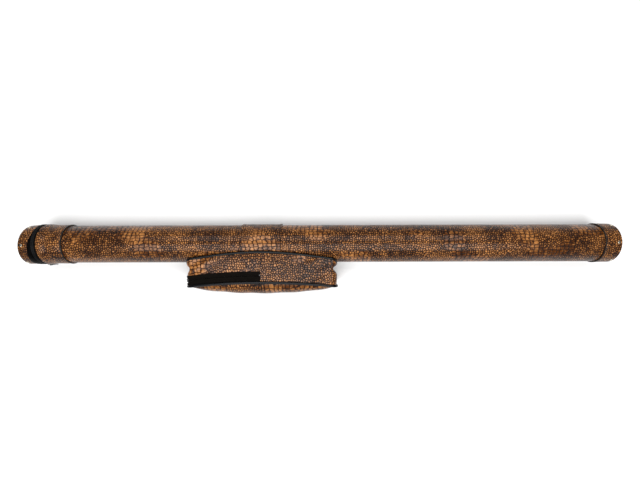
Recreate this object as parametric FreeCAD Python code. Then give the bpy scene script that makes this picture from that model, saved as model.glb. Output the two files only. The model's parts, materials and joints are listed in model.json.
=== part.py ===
import FreeCAD, Part
import math
import os

# Leather cue case: a stiff tube with a hinged, zipped lid at one end, a closed cap at the other, and an
# accessory pouch held on the side by a sleeve.
# All lengths are in millimetres. The case lies on its side: +X runs along the tube from the lid to the base,
# +Y points away from the pouch and +Z points up. The origin is the middle of the case's footprint.

# ---------------------------------------------------------------- driving dimensions
case_length = 1184.0         # over both ends
tube_radius = 38.0           # outside of the leather on the tube
leather = 1.3                # thickness of the cover leather
core_wall = 2.0              # wall of the stiff tube
cap_leather = 1.5            # second layer of leather: base cap, collar and lid
corner_radius = 4.0          # rounding of the outer edge at both ends

base_cap_length = 32.0
collar_length = 46.0
lid_length = 22.0            # leather part of the lid
band_width = 16.0            # black band between the collar and the lid
flare_length = 16.0          # stretch of the collar that rises over the zip tape
flare_rise = 1.8
edging_width = 1.6
edging_rise = 0.5

butt_channel_radius = 15.2   # inside the cloth: for a butt of 30 mm diameter
shaft_channel_radius = 13.4  # for a shaft joint of 26 mm diameter
extension_channel_radius = 8.6
channel_cloth = 0.8
butt_channel_centre = (17.8, -3.6)
shaft_channel_centre = (-17.6, -5.4)
extension_channel_centre = (0.0, 22.6)
base_plug_thickness = 26.0
base_pad_thickness = 10.0
mouth_trim_thickness = 2.0

stud_count = 6
stud_radius = 3.0
stud_rise = 1.3
stud_shank_radius = 1.2
stud_from_end = 8.5
lid_stud_turn = 4.0          # degrees by which the lid's ring of studs is turned

coil_width = 6.0             # both rows of a zip together
coil_rise = 0.8
zip_gap = 0.3                # between the two rows of a zip
tape_thickness = 0.8
zip_setback = 7.5            # from the collar's edge to the line of the lid zip
tape_under_collar = 13.0
zip_start = 18.0             # degrees from the hinge's middle to the first tooth
hinge_half_angle = 16.0      # degrees covered by the hinge strip each side of its middle
hinge_clearance = 0.15       # from the lid's skin to the hinge axis
lid_wall = 2.0
lid_pad_thickness = 8.0

slider_width = 9.0
slider_length = 11.0
slider_plate = 1.3
slider_bridge_width = 4.4
slider_bridge_length = 5.2
slider_bridge_height = 2.4
slider_gap = 0.3             # between a slider and the coil
pull_pin_radius = 0.8
pull_pin_clearance = 0.3
pull_side_clearance = 0.4
pull_length = 16.0
pull_arm_length = 7.0
pull_arm_width = 1.0
pull_thickness = 1.2
lower_slider_angle = 213.0   # degrees about the tube from +Y towards +Z
upper_slider_angle = 195.0

sleeve_length = 80.0
sleeve_leather = 1.8
hem_width = 5.0
hem_rise = 0.5

pouch_x = -117.0             # middle of the pouch along the tube
pouch_length = 298.0
pouch_depth = 102.0          # from the tube's axis to the front of the bulge
pouch_end_depth = 92.0       # the same at the pouch's ends
back_half_height = 39.6      # outline in the plane of the tube's axis: middle, then ends
back_end_half_height = 34.3
front_half_height = 33.2     # outline at loft_depth in front of the axis: middle, then ends
front_end_half_height = 11.9
loft_depth = 110.0
seam_depth = 77.0            # from the axis to the front seam: middle, then ends
seam_end_depth = 86.5
bulge_radius = 37.1          # of the front panel, seen along the tube
bulge_crown = 1.5            # cut off the bulge's round by the flatter face of the front
pouch_leather = 1.4
lining = 0.8
back_panel_thickness = 1.7
piping_width = 4.0
piping_rise = 1.8
back_piping_rise = 1.5
back_piping_depth = 2.2
back_seam_width = 2.5
flap_tape_width = 10.0
body_tape_width = 7.0
flap_gap = 0.3               # between the flap and the fixed half of the front
flap_hinge_clearance = 0.3
pouch_slider_x = -16.0       # from the pouch's middle, zip closed
pouch_slider_gap = 0.6
pouch_slider_plate = 1.0

# ---------------------------------------------------------------- worked out from the above
core_outer = tube_radius - leather
core_inner = core_outer - core_wall
cap_radius = tube_radius + cap_leather
flare_radius = cap_radius + flare_rise
band_radius = flare_radius - 0.3
edging_radius = cap_radius + edging_rise

base_end = case_length / 2
lid_end = -case_length / 2
cap_edge = base_end - base_cap_length
lid_edge = lid_end + lid_length
mouth = lid_edge + band_width
collar_edge = mouth + collar_length
zip_line = mouth - zip_setback
coil_half = coil_width / 2
end_disc = cap_leather + 0.1
shell_outer = cap_radius - cap_leather + 0.4
pad_end = base_end - end_disc - base_plug_thickness
channel_end = pad_end - base_pad_thickness
core_start = mouth - mouth_trim_thickness

axis_z = flare_radius                              # the collar's flared edge is the lowest point
axis_y = (pouch_depth - flare_radius) / 2          # centres the footprint
half_pouch = pouch_length / 2

V = FreeCAD.Vector
X_AXIS = V(1, 0, 0)
Y_AXIS = V(0, 1, 0)
Z_AXIS = V(0, 0, 1)
FAR = 400.0                                        # half size of the blocks that only cut


# ---------------------------------------------------------------- shapes used more than once
def revolved(points, start=0.0, turn=360.0):
    """Turn a closed outline of (x, radius) points about the tube's axis, from an angle at +Y towards +Z."""
    corners = [V(x, r, 0) for x, r in points]
    face = Part.Face(Part.makePolygon(corners + corners[:1]))
    face.rotate(V(0, 0, 0), X_AXIS, start)
    return face.revolve(V(0, 0, 0), X_AXIS, turn)


def ring(x0, x1, r0, r1, start=0.0, turn=360.0):
    """A band round the tube between two radii."""
    return revolved([(x0, r0), (x1, r0), (x1, r1), (x0, r1)], start, turn)


def rod(x0, x1, radius, y=0.0, z=0.0):
    """A round bar along X."""
    return Part.makeCylinder(radius, x1 - x0, V(x0, y, z), X_AXIS)


def box(x0, x1, y0, y1, z0, z1):
    return Part.makeBox(x1 - x0, y1 - y0, z1 - z0, V(x0, y0, z0))


def rounded_end(edge, end, outer, inner, disc_radius):
    """Leather turned over an end: a band from edge to end whose outer corner is rounded."""
    way = 1 if end > edge else -1
    turn_x = end - way * corner_radius
    turn_r = outer - corner_radius
    middle = corner_radius * math.sqrt(0.5)
    corner = Part.Arc(V(turn_x, outer, 0), V(turn_x + way * middle, turn_r + middle, 0), V(end, turn_r, 0))
    floor_x = end - way * end_disc
    path = [V(end, turn_r, 0), V(end, disc_radius, 0), V(floor_x, disc_radius, 0), V(floor_x, inner, 0),
            V(edge, inner, 0), V(edge, outer, 0), V(turn_x, outer, 0)]
    edges = [corner.toShape()]
    edges += [Part.makeLine(a, b) for a, b in zip(path, path[1:])]
    face = Part.Face(Part.Wire(edges))
    return face.revolve(V(0, 0, 0), X_AXIS, 360)


def stud_places(x, turn):
    """Where each stud stands, as the angle from +Y; the first one is on top."""
    return [(x, 90 + turn + 360 * i / stud_count) for i in range(stud_count)]


def stud(x, angle):
    """One domed rivet whose head sits on the leather."""
    head_radius = (stud_radius ** 2 + stud_rise ** 2) / (2 * stud_rise)
    head = Part.makeSphere(head_radius, V(x, 0, cap_radius + stud_rise - head_radius))
    head = head.cut(rod(x - FAR, x + FAR, cap_radius))
    shank = Part.makeCylinder(stud_shank_radius, cap_radius - core_inner, V(x, 0, core_inner), Z_AXIS)
    shank = shank.common(rod(x - FAR, x + FAR, cap_radius))
    solid = head.fuse(shank).removeSplitter()
    solid.rotate(V(0, 0, 0), X_AXIS, angle - 90)
    return solid


def shank_holes(x, turn):
    """The holes that the studs' shanks fill."""
    holes = []
    for _, angle in stud_places(x, turn):
        hole = Part.makeCylinder(stud_shank_radius, 2 * tube_radius - core_inner, V(x, 0, core_inner), Z_AXIS)
        hole.rotate(V(0, 0, 0), X_AXIS, angle - 90)
        holes.append(hole)
    return holes


def slider_solid(plate_thickness):
    """A zip slider: a plate and a bridge with a hole for the pull. The pull turns about X at the origin's
    height pin_height above the plate's underside; the zip runs along Y."""
    half_w = slider_width / 2
    half_l = slider_length / 2
    plate = box(-half_w, half_w, -half_l, half_l, 0, plate_thickness)
    corners = [edge for edge in plate.Edges if abs(edge.tangentAt(edge.FirstParameter).z) > 0.9]
    plate = plate.makeFillet(slider_width / 4, corners)
    bridge = box(-slider_bridge_width / 2, slider_bridge_width / 2, -slider_bridge_length / 2,
                 slider_bridge_length / 2, plate_thickness, plate_thickness + slider_bridge_height)
    hole = rod(-half_w, half_w, pull_pin_radius + pull_pin_clearance, 0, pin_height(plate_thickness))
    return plate.fuse(bridge).cut(hole).removeSplitter()


def pin_height(plate_thickness):
    """Height of the pull's pin above the underside of the slider's plate."""
    return plate_thickness + slider_bridge_height / 2


def pull_solid():
    """A pull that hangs along -Z from its pin, which lies on the X axis."""
    inner = slider_bridge_width / 2 + pull_side_clearance
    outer = inner + pull_arm_width
    half_t = pull_thickness / 2
    pin = rod(-outer, outer, pull_pin_radius)
    body = box(-outer, outer, -half_t, half_t, -pull_length, pull_pin_radius)
    window = box(-inner, inner, -FAR, FAR, -pull_arm_length, FAR)
    return body.cut(window).fuse(pin).removeSplitter()


# ---------------------------------------------------------------- the tube
def make_tube():
    base_holes = shank_holes(base_end - stud_from_end, 0)
    tube_stop = base_end - corner_radius
    core = ring(core_start, tube_stop, core_inner, core_outer)
    cover = ring(core_start, tube_stop, core_outer, tube_radius)
    for hole in base_holes:
        core = core.cut(hole)
        cover = cover.cut(hole)
    trim = ring(mouth - 2 * mouth_trim_thickness, core_start, core_inner, tube_radius)
    return {"tube_core": core, "tube_cover": cover, "mouth_trim": trim}


def make_cradle():
    """The foam that fills the tube, with a cloth-lined channel for each part of the cue."""
    foam = rod(core_start, channel_end, core_inner)
    liners = {}
    channels = (("butt_channel_liner", butt_channel_centre, butt_channel_radius),
                ("shaft_channel_liner", shaft_channel_centre, shaft_channel_radius),
                ("extension_channel_liner", extension_channel_centre, extension_channel_radius))
    for name, (y, z), radius in channels:
        outer = rod(core_start, channel_end, radius + channel_cloth, y, z)
        foam = foam.cut(outer)
        liners[name] = outer.cut(rod(core_start, channel_end, radius, y, z))
    pad = rod(channel_end, pad_end, core_inner)
    return {"foam_core": foam, **liners, "base_pad": pad}


def make_base():
    """The closed end: a rigid plug, a leather cap with a dark edge, and its ring of studs."""
    stud_x = base_end - stud_from_end
    holes = shank_holes(stud_x, 0)
    tube_stop = base_end - corner_radius
    plug = rod(pad_end, base_end - end_disc, core_inner)
    plug = plug.fuse(rod(tube_stop, base_end - end_disc, tube_radius)).removeSplitter()
    disc_radius = cap_radius - 2 * corner_radius
    cover = rounded_end(cap_edge, base_end, cap_radius, tube_radius, disc_radius)
    for hole in holes:
        cover = cover.cut(hole)
    disc = rod(base_end - end_disc, base_end, disc_radius)
    edging = ring(cap_edge - edging_width, cap_edge, tube_radius, edging_radius)
    studs = Part.makeCompound([stud(*place) for place in stud_places(stud_x, 0)])
    return {"base_plug": plug, "base_cap_cover": cover, "base_end_disc": disc, "base_edging": edging,
            "base_studs": studs}


def make_collar():
    """The leather collar below the lid: it covers the end of the zip tape, which lifts its edge."""
    tape_top = tube_radius + tape_thickness
    tape_start = mouth + tape_under_collar
    profile = [(collar_edge, tube_radius), (tape_start, tube_radius), (tape_start, tape_top),
               (mouth, tape_top), (mouth, flare_radius), (mouth + flare_length / 4, flare_radius),
               (mouth + flare_length, cap_radius), (collar_edge, cap_radius)]
    edging = ring(collar_edge, collar_edge + edging_width, tube_radius, edging_radius)
    return {"collar_cover": revolved(profile), "collar_edging": edging}


def make_sleeve():
    """The leather band that carries the pouch, with a thicker hem at each edge."""
    x0 = pouch_x - sleeve_length / 2
    x1 = pouch_x + sleeve_length / 2
    top = tube_radius + sleeve_leather
    band = ring(x0, x1, tube_radius, top)
    hems = Part.makeCompound([ring(x0, x0 + hem_width, top, top + hem_rise),
                              ring(x1 - hem_width, x1, top, top + hem_rise)])
    return {"pouch_sleeve": band, "pouch_sleeve_hems": hems}


# ---------------------------------------------------------------- the lid and its zip
def make_lid():
    """A stiff cup covered with leather, with a black rolled edge, a ring of studs and a soft pad inside."""
    stud_x = lid_end + stud_from_end
    holes = shank_holes(stud_x, lid_stud_turn)
    binding_start = zip_line - coil_half
    floor_x = lid_end + end_disc
    wall_inner = tube_radius - lid_wall
    shell = ring(floor_x, lid_edge, wall_inner, tube_radius)
    shell = shell.fuse(ring(lid_edge, binding_start, wall_inner, shell_outer))
    shell = shell.fuse(rod(floor_x, floor_x + lid_wall, tube_radius)).removeSplitter()
    disc_radius = cap_radius - 2 * corner_radius
    cover = rounded_end(lid_edge, lid_end, cap_radius, tube_radius, disc_radius)
    for hole in holes:
        shell = shell.cut(hole)
        cover = cover.cut(hole)
    studs = [stud(*place) for place in stud_places(stud_x, lid_stud_turn)]
    inside = rod(floor_x, mouth, wall_inner)
    studs = Part.makeCompound([piece.cut(inside) for piece in studs])
    tape_top = shell_outer + tape_thickness
    binding = ring(lid_edge, binding_start, tape_top, band_radius)
    tape = ring(lid_edge, binding_start, shell_outer, tape_top)
    pad_x = floor_x + lid_wall
    pad = rod(pad_x, pad_x + lid_pad_thickness, wall_inner)
    disc = rod(lid_end, floor_x, disc_radius)
    return {"lid_shell": shell, "lid_cover": cover, "lid_end_disc": disc, "lid_binding": binding,
            "lid_studs": studs, "lid_pad": pad, "lid_zip_lid_tape": tape}


def make_lid_zip():
    """The two rows of teeth round the mouth, the tape on the tube, the hinge strip and the end stops."""
    turn = 360 - 2 * zip_start
    near = zip_line + zip_gap / 2
    away = zip_line - zip_gap / 2
    case_tape = ring(zip_line + coil_half, mouth + tape_under_collar, tube_radius, tube_radius + tape_thickness)
    coil_inner = tube_radius + tape_thickness / 2
    case_coil = ring(near, zip_line + coil_half, coil_inner, band_radius, zip_start, turn)
    lid_coil = ring(zip_line - coil_half, away, coil_inner, band_radius, zip_start, turn)
    strip_angles = (-hinge_half_angle, 2 * hinge_half_angle)
    case_strip = ring(near, mouth, tube_radius + tape_thickness, band_radius, *strip_angles)
    case_strip = case_strip.fuse(ring(near, zip_line + coil_half, coil_inner, band_radius, *strip_angles))
    lid_strip = ring(zip_line - coil_half, away, coil_inner, band_radius, *strip_angles)
    stop_turn = zip_start - hinge_half_angle - 0.4
    stop_starts = (hinge_half_angle + 0.2, 360 - zip_start + 0.2)
    stops = [ring(near, zip_line + coil_half, coil_inner, band_radius + coil_rise, start, stop_turn)
             for start in stop_starts]
    return {"lid_zip_case_tape": case_tape, "lid_zip_case_coil": case_coil, "lid_zip_lid_coil": lid_coil,
            "lid_hinge_strip": case_strip.removeSplitter(), "lid_hinge_strip_lid_half": lid_strip,
            "lid_zip_end_stops": Part.makeCompound(stops)}


def make_lid_sliders():
    """Two sliders that meet low on the pouch's side; each pull hangs straight down from its bridge."""
    nodes = {}
    underside = band_radius + slider_gap
    for name, angle in (("lid_zip_lower", lower_slider_angle), ("lid_zip_upper", upper_slider_angle)):
        body = slider_solid(slider_plate)
        saddle = rod(-FAR, FAR, underside, 0, -underside)
        lift = underside - math.sqrt(underside ** 2 - (slider_length / 2) ** 2)
        body = body.fuse(box(-slider_width / 2, slider_width / 2, -slider_length / 2 + 1.5,
                             slider_length / 2 - 1.5, -lift, slider_plate / 2))
        body = body.cut(saddle).removeSplitter()
        body.translate(V(zip_line, 0, underside))
        body.rotate(V(0, 0, 0), X_AXIS, angle - 90)
        nodes[name + "_slider"] = body
        pivot = underside + pin_height(slider_plate)
        pull = pull_solid()
        pull.translate(V(zip_line, pivot * math.cos(math.radians(angle)), pivot * math.sin(math.radians(angle))))
        nodes[name + "_pull"] = pull
    return nodes


# ---------------------------------------------------------------- the pouch, with its middle at x = 0
def outline(y, half_length, middle, end):
    """A flat outline across the pouch: arched above and below, straight at both ends."""
    top = Part.Arc(V(-half_length, y, end), V(0, y, middle), V(half_length, y, end)).toShape()
    right = Part.makeLine(V(half_length, y, end), V(half_length, y, -end))
    bottom = Part.Arc(V(half_length, y, -end), V(0, y, -middle), V(-half_length, y, -end)).toShape()
    left = Part.makeLine(V(-half_length, y, -end), V(-half_length, y, end))
    return Part.Wire([top, right, bottom, left])


def pouch_form(inset):
    """The pouch's outer form, made smaller all round by inset: tapering gussets and a bulging front."""
    half_length = half_pouch - inset
    back = outline(0, half_length, back_half_height - inset, back_end_half_height - inset)
    front = outline(-loft_depth, half_length, front_half_height - inset, front_end_half_height - inset)
    body = Part.makeLoft([back, front], True, True)
    bulge_y = bulge_radius - pouch_depth - bulge_crown
    bulge = rod(-FAR, FAR, bulge_radius - inset, bulge_y, 0)
    bulge = bulge.fuse(box(-FAR, FAR, bulge_y, FAR, -FAR, FAR))
    fall = pouch_depth - pouch_end_depth
    front_radius = (half_pouch ** 2 + fall ** 2) / (2 * fall)
    front_centre = V(0, front_radius - pouch_depth, -FAR)
    front_face = Part.makeCylinder(front_radius - inset, 2 * FAR, front_centre, Z_AXIS)
    return body.common(bulge).common(front_face)


def in_front_of_seam(shift):
    """All that lies in front of the front seam, with the seam moved back towards the tube by shift."""
    bow = seam_end_depth - seam_depth
    radius = (half_pouch ** 2 + bow ** 2) / (2 * bow)
    return Part.makeCylinder(radius, 2 * FAR, V(0, shift - seam_depth - radius, -FAR), Z_AXIS)


def seam_band(shape, front, back):
    """The part of a shape between two distances behind the front seam."""
    return shape.common(in_front_of_seam(back)).cut(in_front_of_seam(front))


def make_pouch():
    outer = pouch_form(0)
    inner = pouch_form(pouch_leather)
    wall = outer.cut(inner)
    left = box(-FAR, -flap_gap, -FAR, FAR, -FAR, FAR)
    left_fixed = box(-FAR, 0, -FAR, FAR, -FAR, FAR)
    right = box(0, FAR, -FAR, FAR, -FAR, FAR)
    back_outer_radius = sleeve_top() + back_panel_thickness + back_piping_depth
    against_tube = rod(-FAR, FAR, back_outer_radius)
    zone = flap_tape_width + coil_width + body_tape_width
    nodes = {}

    nodes["pouch_gusset_right"] = wall.common(right).cut(against_tube).cut(in_front_of_seam(0))
    nodes["pouch_gusset_left"] = wall.common(left_fixed).cut(against_tube).cut(in_front_of_seam(zone))
    nodes["pouch_front_right"] = wall.common(right).common(in_front_of_seam(0))
    nodes["pouch_front_flap"] = wall.common(left).common(in_front_of_seam(0))

    lining_wall = inner.cut(pouch_form(pouch_leather + lining))
    left_front = left_fixed.common(in_front_of_seam(zone))
    nodes["pouch_lining"] = lining_wall.cut(against_tube).cut(left_front)
    nodes["pouch_flap_lining"] = lining_wall.common(left).common(in_front_of_seam(flap_tape_width))

    tape_wall = outer.cut(pouch_form(tape_thickness))
    coil_wall = pouch_form(-coil_rise).cut(inner)
    flap_coil_front = flap_tape_width
    middle = flap_tape_width + coil_half
    body_coil_back = flap_tape_width + coil_width
    nodes["pouch_zip_flap_tape"] = seam_band(tape_wall.common(left), 0, flap_coil_front)
    nodes["pouch_zip_flap_coil"] = seam_band(coil_wall.common(left), flap_coil_front, middle - zip_gap / 2)
    nodes["pouch_zip_body_coil"] = seam_band(coil_wall.common(left), middle + zip_gap / 2, body_coil_back)
    nodes["pouch_zip_body_tape"] = seam_band(tape_wall.common(left_fixed), body_coil_back, zone)

    rib = pouch_form(-piping_rise).cut(outer)
    rib = seam_band(rib, -piping_width / 2, piping_width / 2)
    nodes["pouch_front_piping_right"] = rib.common(right)
    nodes["pouch_flap_piping"] = rib.common(left)

    behind = box(-FAR, FAR, -FAR, 0, -FAR, FAR)
    edge = pouch_form(-back_piping_rise).cut(pouch_form(back_seam_width))
    edge = edge.common(against_tube).cut(rod(-FAR, FAR, sleeve_top()))
    nodes["pouch_back_piping"] = edge.common(behind)
    panel = rod(-FAR, FAR, sleeve_top() + back_panel_thickness).cut(rod(-FAR, FAR, sleeve_top()))
    nodes["pouch_back_panel"] = panel.common(pouch_form(back_seam_width)).common(behind)

    stop = seam_band(pouch_form(-2 * coil_rise).cut(pouch_form(-coil_rise)), middle + zip_gap / 2, body_coil_back)
    stop = stop.common(box(-2.5, -flap_gap, -FAR, FAR, -FAR, FAR))
    nodes["pouch_zip_end_stops"] = stop
    return nodes


def sleeve_top():
    """Radius of the surface that the pouch's back is sewn to."""
    return tube_radius + sleeve_leather + hem_rise


def pouch_zip_path():
    """The run of the pouch zip under the pouch: its lowest point at the middle, the direction in which it
    bends away, and the radius of that bend. The slider follows this arc."""
    middle_y = -(seam_depth - flap_tape_width - coil_half)
    end_y = middle_y - (seam_end_depth - seam_depth)
    middle_z = -half_height(middle_y, back_half_height, front_half_height)
    end_z = -half_height(end_y, back_end_half_height, front_end_half_height)
    bend = V(0, end_y - middle_y, end_z - middle_z)
    radius = (half_pouch ** 2 + bend.Length ** 2) / (2 * bend.Length)
    return V(0, middle_y, middle_z), bend.normalize(), radius


def half_height(y, back, front):
    """Half height of the gusset at depth y, between its back and front outlines."""
    return back + (front - back) * (-y / loft_depth)


def under_pouch(piece):
    """Move a piece made on a level zip along Y to the closed end of the zip under the pouch."""
    lowest, bend, radius = pouch_zip_path()
    slope = math.degrees(math.atan2(back_half_height - front_half_height, loft_depth))
    turn = math.degrees(math.asin(-pouch_slider_x / radius))
    piece.rotate(V(0, 0, 0), Z_AXIS, 90)
    piece.rotate(V(0, 0, 0), X_AXIS, 180)
    piece.translate(V(0, 0, -coil_rise - pouch_slider_gap))
    piece.rotate(V(0, 0, 0), X_AXIS, -slope)
    piece.translate(lowest)
    piece.rotate(lowest + bend * radius, bend.cross(X_AXIS), turn)
    return piece


def pouch_pull_pin():
    """The middle of the pouch pull's pin, and the direction along it."""
    pin = Part.makeLine(V(0, 0, pin_height(pouch_slider_plate)), V(1, 0, pin_height(pouch_slider_plate)))
    first, second = [vertex.Point for vertex in under_pouch(pin).Vertexes]
    return first, second - first


def make_pouch_slider():
    """The pouch's slider and pull, under the pouch at the closed end of the zip."""
    body = under_pouch(slider_solid(pouch_slider_plate))
    pull = pull_solid()
    pull.rotate(V(0, 0, 0), X_AXIS, -90)
    pull.translate(V(0, 0, pin_height(pouch_slider_plate)))
    return {"pouch_zip_slider": body, "pouch_zip_pull": under_pouch(pull)}


# ---------------------------------------------------------------- build and write
def build():
    nodes = {}
    for part in (make_tube(), make_cradle(), make_base(), make_collar(), make_sleeve(), make_lid(),
                 make_lid_zip(), make_lid_sliders()):
        nodes.update(part)
    for part in (make_pouch(), make_pouch_slider()):
        for name, shape in part.items():
            shape.translate(V(pouch_x, 0, 0))
            nodes[name] = shape
    for shape in nodes.values():
        shape.translate(V(0, axis_y, axis_z))
    return nodes


def joint_places():
    """The joint axes, as points and directions, worked out from the same dimensions."""
    to_frame = V(0, axis_y, axis_z)
    underside = band_radius + slider_gap
    pivot = underside + pin_height(slider_plate)
    places = {"lid_hinge": (V(zip_line, band_radius + hinge_clearance, 0) + to_frame, -Z_AXIS),
              "lid_zip": (to_frame, X_AXIS),
              "pouch_flap": (V(pouch_x, -pouch_depth - flap_hinge_clearance, 0) + to_frame, Z_AXIS)}
    for name, angle in (("lower_pull", lower_slider_angle), ("upper_pull", upper_slider_angle)):
        turn = math.radians(angle)
        places[name] = (V(zip_line, pivot * math.cos(turn), pivot * math.sin(turn)) + to_frame, X_AXIS)
    lowest, bend, radius = pouch_zip_path()
    to_pouch = V(pouch_x, 0, 0) + to_frame
    places["pouch_slider"] = (lowest + bend * radius + to_pouch, bend.cross(X_AXIS))
    pin, across = pouch_pull_pin()
    places["pouch_pull"] = (pin + to_pouch, across)
    return places


nodes = build()
os.makedirs("parts", exist_ok=True)
for name, shape in nodes.items():
    shape.exportStep(os.path.join("parts", name + ".step"))
    print("%-28s %2d solid(s) %12.1f mm3" % (name, len(shape.Solids), shape.Volume))
for name, (place, direction) in joint_places().items():
    print("joint %-12s at %s along %s" % (name, tuple(round(v, 3) for v in place), tuple(direction)))
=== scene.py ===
# %% [markdown]
# # A leather tube case for a cue
# The case is a stiff tube covered in embossed leather, with a studded cap at one end, a zipped lid
# at the other, and a zipped pouch sewn to one side through a wide leather sleeve. It lies along X:
# the lid is at -X, the pouch at -Y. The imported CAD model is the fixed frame; the pieces that show
# are modelled again here, softer and in more detail, in the same place.

# %% Load the frame
import bpy
import json
import math
from mathutils import Matrix, Vector


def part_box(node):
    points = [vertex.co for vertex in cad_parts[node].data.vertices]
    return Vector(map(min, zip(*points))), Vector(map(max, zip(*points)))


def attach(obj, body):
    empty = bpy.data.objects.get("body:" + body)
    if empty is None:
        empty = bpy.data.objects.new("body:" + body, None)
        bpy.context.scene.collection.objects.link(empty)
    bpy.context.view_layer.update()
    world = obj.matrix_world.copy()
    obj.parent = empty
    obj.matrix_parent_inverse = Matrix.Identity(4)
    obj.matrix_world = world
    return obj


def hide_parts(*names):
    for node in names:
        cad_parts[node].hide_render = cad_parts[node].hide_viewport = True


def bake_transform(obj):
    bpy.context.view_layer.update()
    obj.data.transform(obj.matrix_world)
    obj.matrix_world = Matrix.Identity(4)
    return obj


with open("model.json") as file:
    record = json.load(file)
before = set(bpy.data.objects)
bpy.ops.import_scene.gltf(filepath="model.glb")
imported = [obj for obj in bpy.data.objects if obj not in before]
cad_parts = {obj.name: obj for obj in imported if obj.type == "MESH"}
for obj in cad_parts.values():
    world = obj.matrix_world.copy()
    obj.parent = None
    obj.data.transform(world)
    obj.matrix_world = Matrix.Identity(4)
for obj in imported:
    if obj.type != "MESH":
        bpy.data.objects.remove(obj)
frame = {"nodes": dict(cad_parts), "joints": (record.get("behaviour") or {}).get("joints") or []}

bpy.context.view_layer.update()
MM = 0.001
AXIS_Y = 30.35            # the tube's axis, in mm
AXIS_Z = 41.3
POUCH_X = -117.0          # the middle of the pouch along the tube
MOUTH_X = -556            # the tube's open end
TUBE_END = 588
CASE_END = 592            # the outer face of the base cap; the lid's is at -592
TUBE_RADIUS = 38
SKIN_UNDER = 38.05        # layers over the tube's leather start just above it

# %% [markdown]
# ## Working by hand, in code
# Every piece starts from a primitive and is shaped in edit mode, as it would be by hand. An
# operator acts on all that is selected, so each helper first clears the selection. A lathe suits
# the tube, caps and collar, because they are all round: a section is drawn as a chain of points
# beside the tube's axis, closed, and spun about it. Sheets of leather start as a flat grid whose
# points are then moved to their place on the pouch.


# %% Helpers for meshes
MERGE = 0.000004          # in metres: points nearer than this are one


def clear_selection():
    if bpy.context.object and bpy.context.object.mode != "OBJECT":
        bpy.ops.object.mode_set(mode="OBJECT")
    bpy.ops.object.select_all(action="DESELECT")


def only(piece):
    clear_selection()
    piece.select_set(True)
    bpy.context.view_layer.objects.active = piece


def around(x, radius, angle):
    """A point beside the tube's axis, in metres: angles run from +Y towards the top."""
    turn = math.radians(angle)
    return Vector((x, AXIS_Y + radius * math.cos(turn), AXIS_Z + radius * math.sin(turn))) * MM


def standing(x, radius, angle):
    """A matrix that stands a model, made upright at the origin, on the tube at this place."""
    lean = Matrix.Rotation(math.radians(angle - 90), 4, "X")
    return Matrix.Translation(around(x, radius, angle)) @ lean


def apply_all(piece):
    only(piece)
    for modifier in list(piece.modifiers):
        bpy.ops.object.modifier_apply(modifier=modifier.name)


def softened(piece, width, segments, angle=30):
    """Round the edges that are sharper than an angle, by a bevel this wide in mm."""
    soft = piece.modifiers.new("soft", "BEVEL")
    soft.width = width * MM
    soft.segments = segments
    soft.limit_method = "ANGLE"
    soft.angle_limit = math.radians(angle)
    apply_all(piece)
    return piece


def tidy_mesh(piece, angle=38):
    """Merge doubles, turn the faces outwards and smooth all but the sharp edges."""
    only(piece)
    bpy.ops.object.mode_set(mode="EDIT")
    bpy.ops.mesh.select_all(action="SELECT")
    bpy.ops.mesh.remove_doubles(threshold=MERGE)
    bpy.ops.mesh.normals_make_consistent(inside=False)
    bpy.ops.object.mode_set(mode="OBJECT")
    bpy.ops.object.shade_smooth_by_angle(angle=math.radians(angle))
    return piece


NEARLY_STRAIGHT = math.radians(88)


def rounded(corners, radius, steps=4):
    """A closed section with rounded corners; a corner may give its own radius as a third value."""
    points = []
    for i, corner in enumerate(corners):
        here = Vector(corner[:2])
        before = Vector(corners[i - 1][:2]) - here
        after = Vector(corners[(i + 1) % len(corners)][:2]) - here
        wanted = corner[2] if len(corner) > 2 else radius
        half = before.angle(after) / 2
        if wanted <= 0 or half > NEARLY_STRAIGHT:
            points.append(here)
            continue
        reach = min(wanted / math.tan(half), before.length * 0.49, after.length * 0.49)
        start, end = here + before.normalized() * reach, here + after.normalized() * reach
        for step in range(steps + 1):
            t = step / steps
            points.append(start.lerp(here, t).lerp(here.lerp(end, t), t))
    return points


def lathe(name, section, steps=144, start=0.0, sweep=360.0, smooth=38):
    """Spin a closed section of (x, radius) points in mm about the tube's axis."""
    clear_selection()
    bpy.ops.mesh.primitive_plane_add(size=MM)
    piece = bpy.context.object
    piece.name = name
    places = [around(x, radius, start) for x, radius in section]
    bpy.ops.object.mode_set(mode="EDIT")
    bpy.ops.mesh.select_mode(type="VERT")
    bpy.ops.mesh.select_all(action="SELECT")
    bpy.ops.mesh.merge(type="CENTER")
    bpy.ops.transform.translate(value=places[0])
    for here, there in zip(places, places[1:]):
        bpy.ops.mesh.extrude_vertices_move(TRANSFORM_OT_translate={"value": there - here})
    bpy.ops.mesh.select_all(action="SELECT")
    bpy.ops.mesh.edge_face_add()
    bpy.ops.mesh.delete(type="ONLY_FACE")
    bpy.ops.mesh.select_all(action="SELECT")
    bpy.ops.mesh.spin(steps=steps, angle=math.radians(-sweep), center=around(0, 0, 0),
                      axis=(1, 0, 0))
    bpy.ops.mesh.select_all(action="SELECT")
    bpy.ops.mesh.remove_doubles(threshold=MERGE)
    if sweep < 360:
        bpy.ops.mesh.fill_holes(sides=0)
    bpy.ops.object.mode_set(mode="OBJECT")
    return tidy_mesh(piece, smooth)


def sheet_of(name, across, along, place, thickness):
    """A grid whose points, from -1 to 1 both ways, go to place(u, v) in mm; then it gets a wall."""
    clear_selection()
    bpy.ops.mesh.primitive_grid_add(x_subdivisions=across, y_subdivisions=along, size=2)
    piece = bpy.context.object
    piece.name = name
    for vertex in piece.data.vertices:
        vertex.co = place(vertex.co.x, vertex.co.y) * MM
    wall = piece.modifiers.new("wall", "SOLIDIFY")
    wall.thickness = thickness * MM
    wall.offset = -1
    apply_all(piece)
    return piece


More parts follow.
